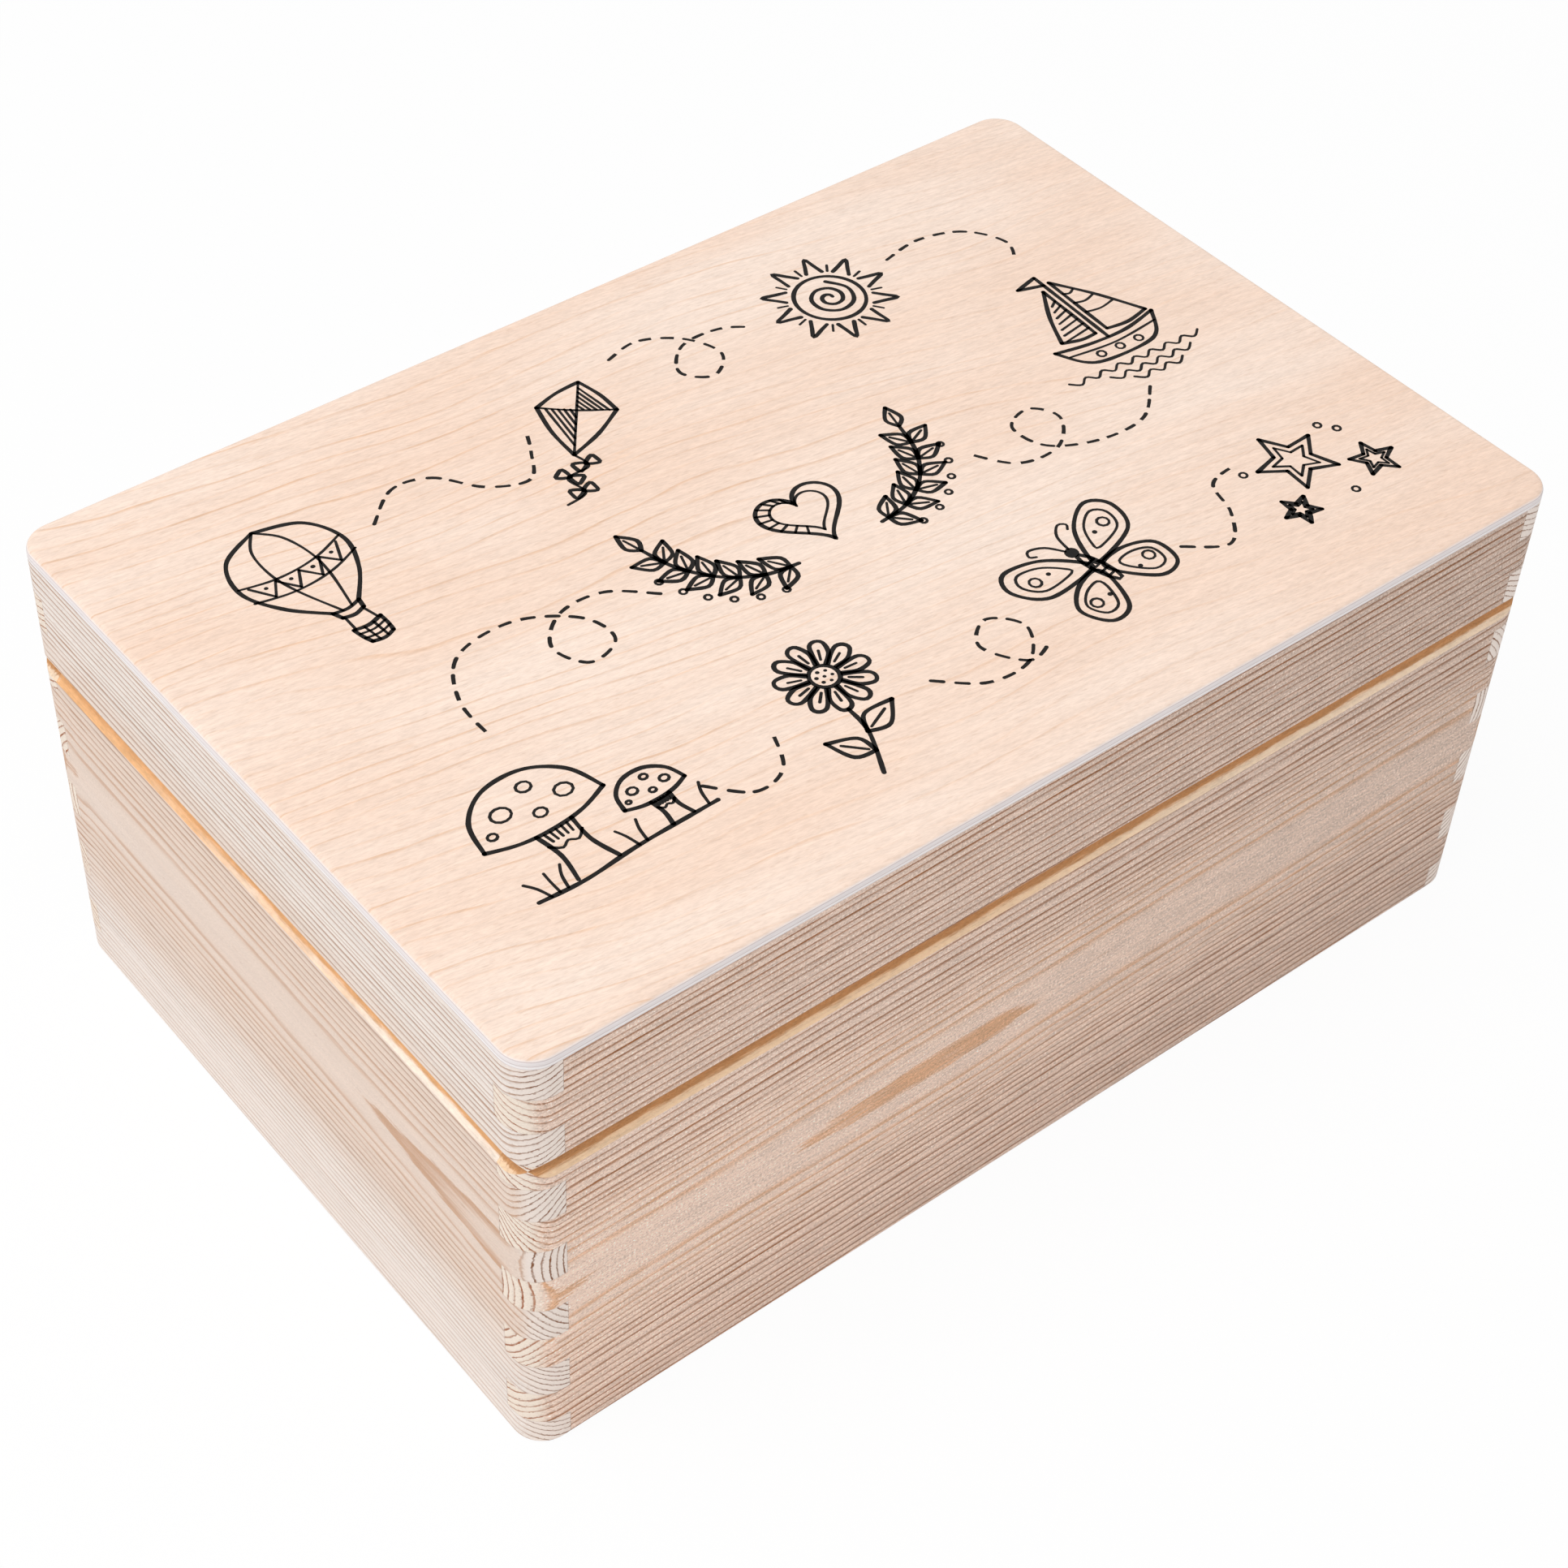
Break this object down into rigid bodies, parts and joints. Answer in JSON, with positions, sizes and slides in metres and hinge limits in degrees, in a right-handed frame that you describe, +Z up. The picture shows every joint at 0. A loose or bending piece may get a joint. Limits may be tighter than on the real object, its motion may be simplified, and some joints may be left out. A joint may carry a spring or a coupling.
{
  "type": "keepsake box",
  "caption": "Rectangular finger-jointed pine box with rounded corners, a V-groove along its parting line, a plywood-topped lid and brass butt hinges let into the back.",
  "frame": {"origin": "centre of the box's outline on the plane of its bottom rim, with the lid closed", "axes": "+X along the hinged side, towards the box's right-hand end; +Y from the front to the hinges; +Z up"},
  "size_m": [0.3, 0.198, 0.1324],
  "materials": {
    "pine_front": "lightly limed pine, matt",
    "pine_side": "lightly limed pine, matt",
    "birch_panel": "fine-sanded plywood, matt",
    "birch_floor": "plain plywood, matt",
    "hinge_brass": "satin brass",
    "screw_brass": "satin brass"
  },
  "bodies": {
    "base": {"base_front": "pine_front", "base_back": "pine_front", "base_left": "pine_side", "base_right": "pine_side", "base_floor": "birch_floor", "hinge_left_base_leaf": "hinge_brass", "hinge_left_pin": "hinge_brass", "hinge_left_base_screws": "screw_brass", "hinge_right_base_leaf": "hinge_brass", "hinge_right_pin": "hinge_brass", "hinge_right_base_screws": "screw_brass"},
    "lid": {"lid_front": "pine_front", "lid_back": "pine_front", "lid_left": "pine_side", "lid_right": "pine_side", "lid_panel": "birch_panel", "hinge_left_lid_leaf": "hinge_brass", "hinge_left_lid_screws": "screw_brass", "hinge_right_lid_leaf": "hinge_brass", "hinge_right_lid_screws": "screw_brass"}
  },
  "joints": [
    {"name": "lid_hinge", "type": "hinge", "parent": "base", "child": "lid", "pos_m": [0, 0.097, 0.0976], "axis": [-1, 0, 0], "range_deg": [0, 105]}
  ]
}
